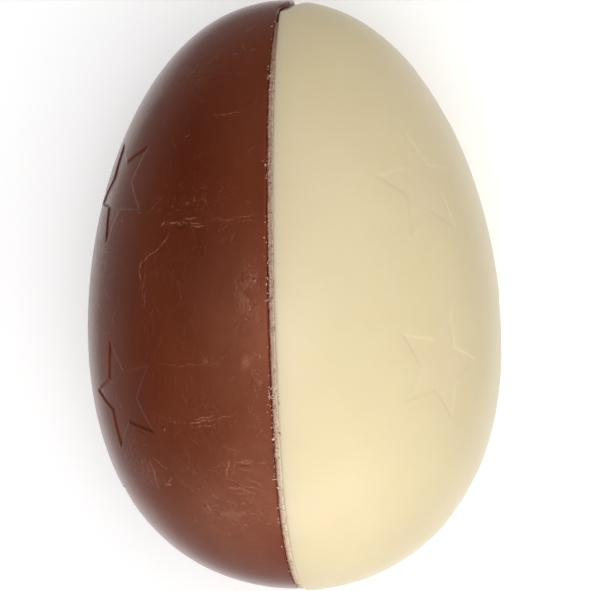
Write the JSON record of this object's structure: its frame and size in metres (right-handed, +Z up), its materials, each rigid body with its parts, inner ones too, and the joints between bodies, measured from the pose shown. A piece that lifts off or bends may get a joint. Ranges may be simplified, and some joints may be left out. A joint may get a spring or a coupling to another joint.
{
  "type": "chocolate egg",
  "caption": "Egg-shaped hollow chocolate, half milk and half white, joined along its length, with stars pressed into both shells; lies on its side.",
  "frame": {"origin": "middle of the box round the egg, at the small flat spot that it rests on", "axes": "+Y along the egg to its narrow end, +Z up, +X towards the white half, with the seam in the YZ plane"},
  "size_m": [0.105, 0.1505, 0.1045],
  "materials": {
    "milk_chocolate": "satin milk chocolate, scuffed and finely scratched, with a greyish sheen",
    "white_chocolate": "smooth satin white chocolate, pale cream"
  },
  "bodies": {
    "root": {"milk_half": "milk_chocolate", "white_half": "white_chocolate"}
  },
  "joints": []
}
